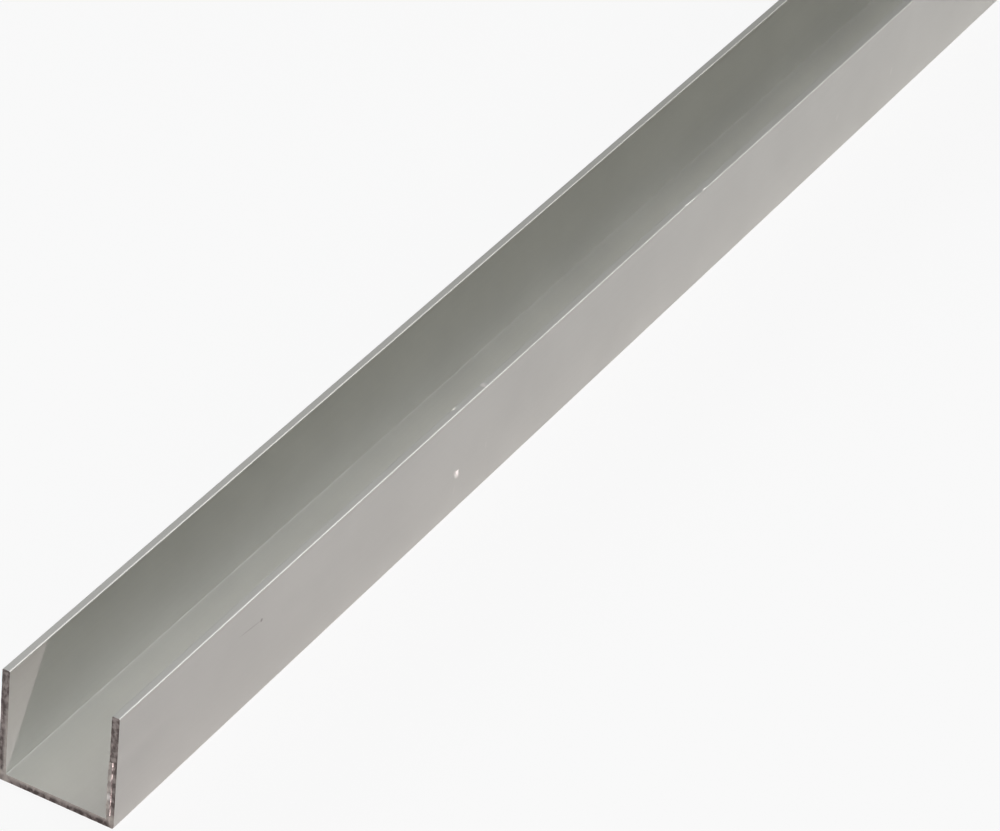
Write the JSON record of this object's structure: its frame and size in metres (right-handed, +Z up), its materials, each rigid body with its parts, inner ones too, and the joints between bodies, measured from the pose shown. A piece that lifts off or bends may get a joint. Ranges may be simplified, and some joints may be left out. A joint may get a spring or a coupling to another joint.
{
  "type": "aluminium u channel",
  "caption": "Straight bar of extruded aluminium U channel with equal sides, silver anodised, sawn square at both ends. Edges panels, boards and glass, or guides a slider.",
  "frame": {"origin": "middle of the underside of the web, halfway along the bar", "axes": "+X along the bar, away from the pictured end; +Y across it; +Z up, out of the open side"},
  "size_m": [1, 0.015, 0.015],
  "materials": {
    "anodised_aluminium": "satin, silver anodised, with bare sawn ends"
  },
  "bodies": {
    "root": {"u_channel": "anodised_aluminium"}
  },
  "joints": []
}
